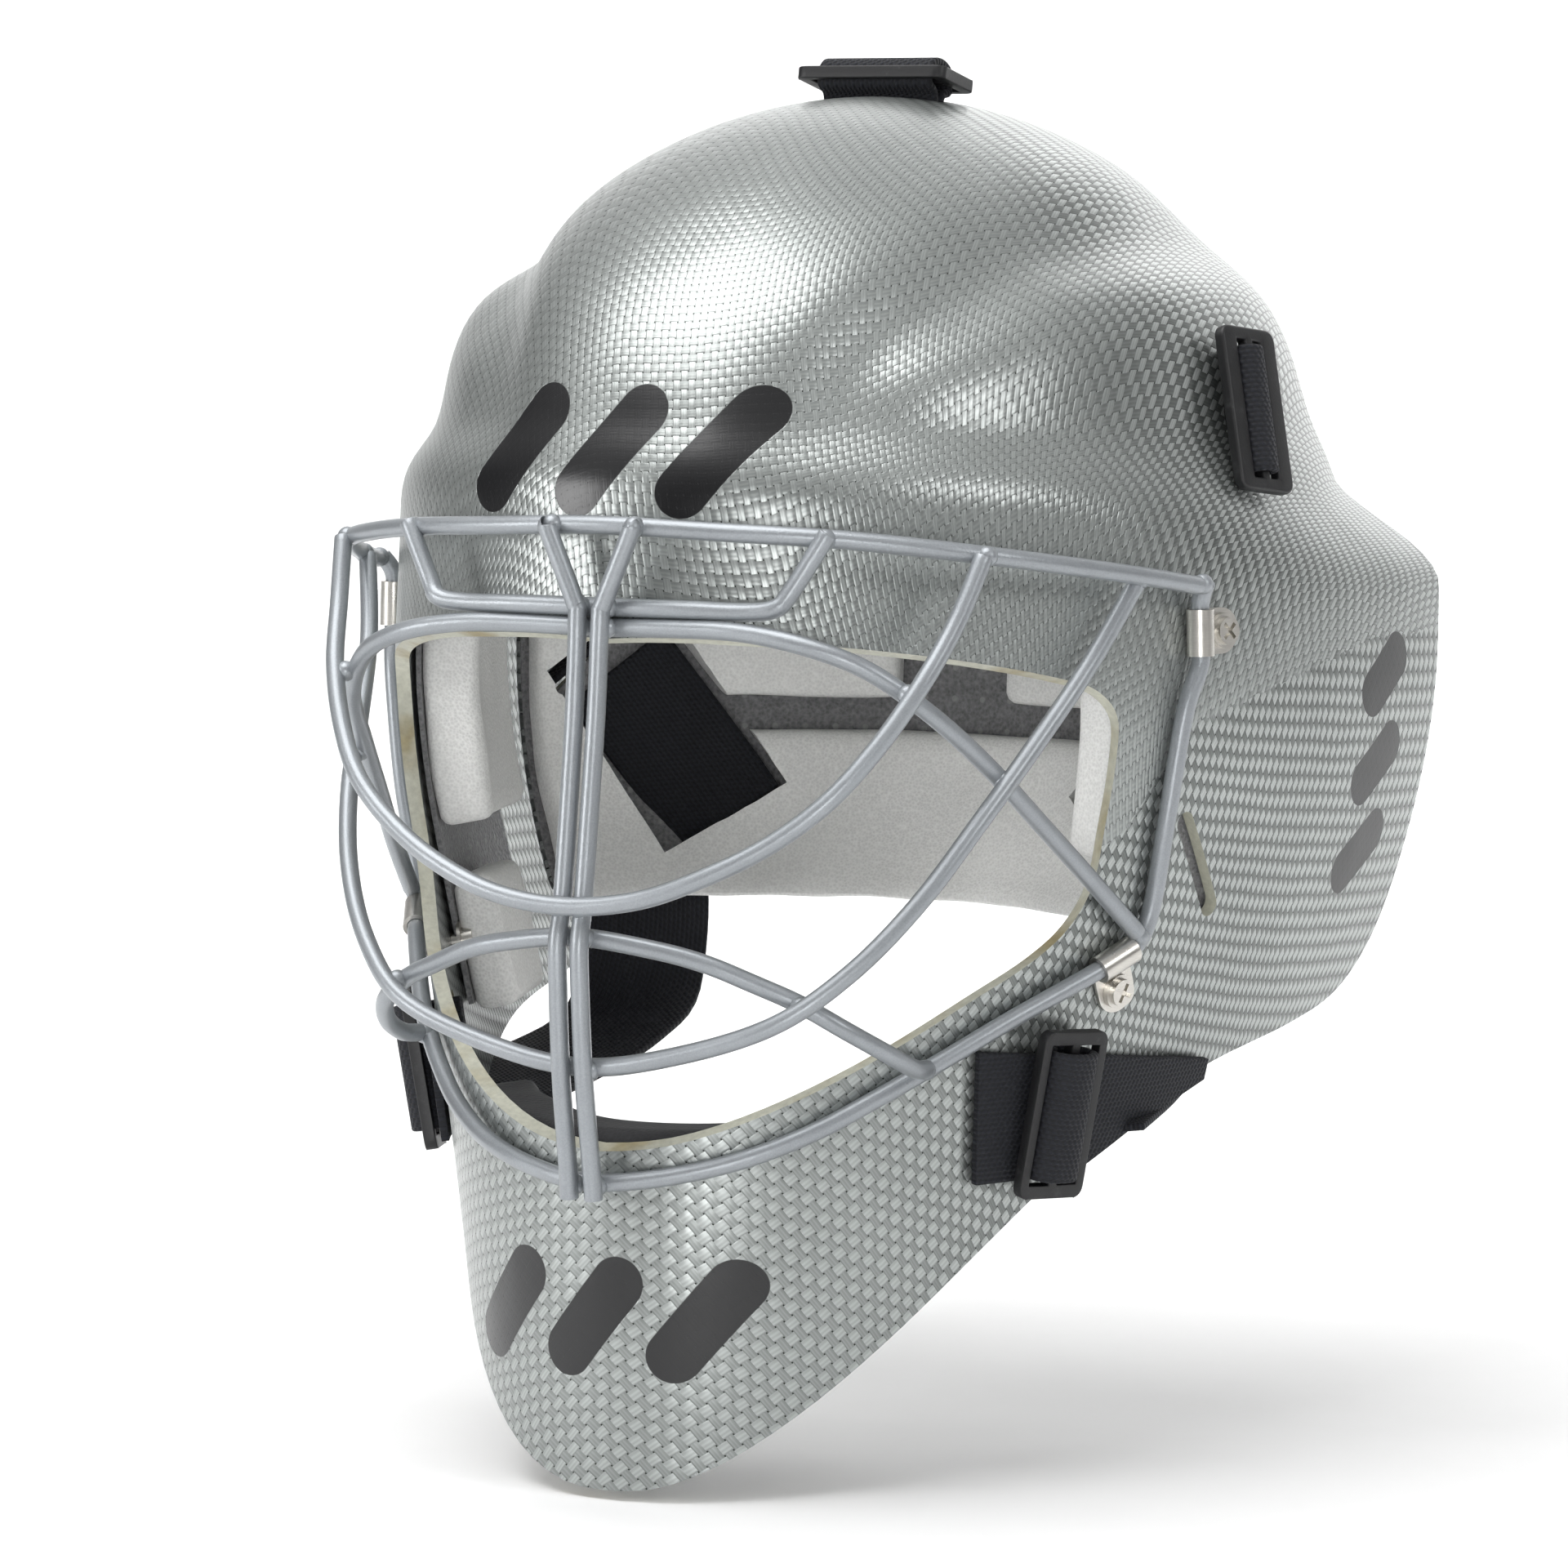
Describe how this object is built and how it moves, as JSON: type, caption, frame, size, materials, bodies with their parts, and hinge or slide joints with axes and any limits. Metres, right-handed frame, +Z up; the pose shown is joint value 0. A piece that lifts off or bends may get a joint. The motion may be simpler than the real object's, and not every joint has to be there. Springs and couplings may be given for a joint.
{
  "type": "goalkeeper mask",
  "caption": "Goalkeeper's full-head mask: woven laminate shell with a face opening behind a welded wire cage, foam padding and a padded back plate on elastic straps.",
  "frame": {"origin": "middle of the head space inside the mask, which is also the mount head", "axes": "-Y towards the front (the face), +X towards the wearer's left, +Z up; the middle plane is X = 0"},
  "size_m": [0.23, 0.2049, 0.3025],
  "materials": {
    "laminate": "woven glass and metallic fibre cloth under a glossy clear resin",
    "white_foam": "matte closed-cell foam",
    "black_foam": "matte closed-cell foam",
    "loop_felt": "dark grey loop felt",
    "cage_coat": "silver powder coat on steel wire",
    "clip_steel": "bright stainless sheet and screws",
    "slider_plastic": "satin black moulded plastic",
    "elastic": "black knitted elastic webbing"
  },
  "bodies": {
    "mask": {"front_shell": "laminate", "forehead_pad": "white_foam", "crown_pad": "white_foam", "temple_pad_left": "white_foam", "temple_pad_right": "white_foam", "cheek_pad_left": "white_foam", "cheek_pad_right": "white_foam", "lining_left": "loop_felt", "lining_right": "loop_felt", "chin_pad": "black_foam", "cage_top_bar": "cage_coat", "cage_hoop": "cage_coat", "cage_brow_loop": "cage_coat", "cage_eye_wire": "cage_coat", "cage_upper_bow": "cage_coat", "cage_lower_bow": "cage_coat", "cage_mouth_loop": "cage_coat", "cage_centre_bar_left": "cage_coat", "cage_centre_bar_right": "cage_coat", "cage_clips": "clip_steel", "clip_screws": "clip_steel", "clip_nuts": "clip_steel", "strap_upper_left": "elastic", "strap_upper_right": "elastic", "strap_lower_left": "elastic", "strap_lower_right": "elastic"},
    "back_plate": {"back_shell": "laminate", "back_lining": "loop_felt", "back_pad_upper_left": "white_foam", "back_pad_upper_right": "white_foam", "back_pad_lower": "white_foam", "strap_tab_left": "elastic", "strap_tab_right": "elastic", "strap_top": "elastic"},
    "slider_top_body": {"slider_top": "slider_plastic", "web_loop_top": "elastic"},
    "slider_upper_left_body": {"slider_upper_left": "slider_plastic", "web_loop_upper_left": "elastic"},
    "slider_upper_right_body": {"slider_upper_right": "slider_plastic", "web_loop_upper_right": "elastic"},
    "slider_lower_left_body": {"slider_lower_left": "slider_plastic", "web_loop_lower_left": "elastic"},
    "slider_lower_right_body": {"slider_lower_right": "slider_plastic", "web_loop_lower_right": "elastic"}
  },
  "joints": [
    {"name": "back_plate_swing", "type": "hinge", "parent": "mask", "child": "back_plate", "pos_m": [0, 0.014, 0.141], "axis": [1, 0, 0], "range_deg": [0, 25], "deforming": ["strap_upper_left", "strap_upper_right", "strap_lower_left", "strap_lower_right"]},
    {"name": "slider_top_lift", "type": "slide", "parent": "mask", "child": "slider_top_body", "axis": [0, 0.2079, 0.9781], "range_m": [0, 0.004]},
    {"name": "slider_upper_left_lift", "type": "slide", "parent": "mask", "child": "slider_upper_left_body", "axis": [0.9318, -0.2421, 0.2705], "range_m": [0, 0.004]},
    {"name": "slider_upper_right_lift", "type": "slide", "parent": "mask", "child": "slider_upper_right_body", "axis": [-0.9318, -0.2421, 0.2705], "range_m": [0, 0.004]},
    {"name": "slider_lower_left_lift", "type": "slide", "parent": "mask", "child": "slider_lower_left_body", "axis": [0.9035, -0.3945, -0.1675], "range_m": [0, 0.004]},
    {"name": "slider_lower_right_lift", "type": "slide", "parent": "mask", "child": "slider_lower_right_body", "axis": [-0.9035, -0.3945, -0.1675], "range_m": [0, 0.004]}
  ]
}
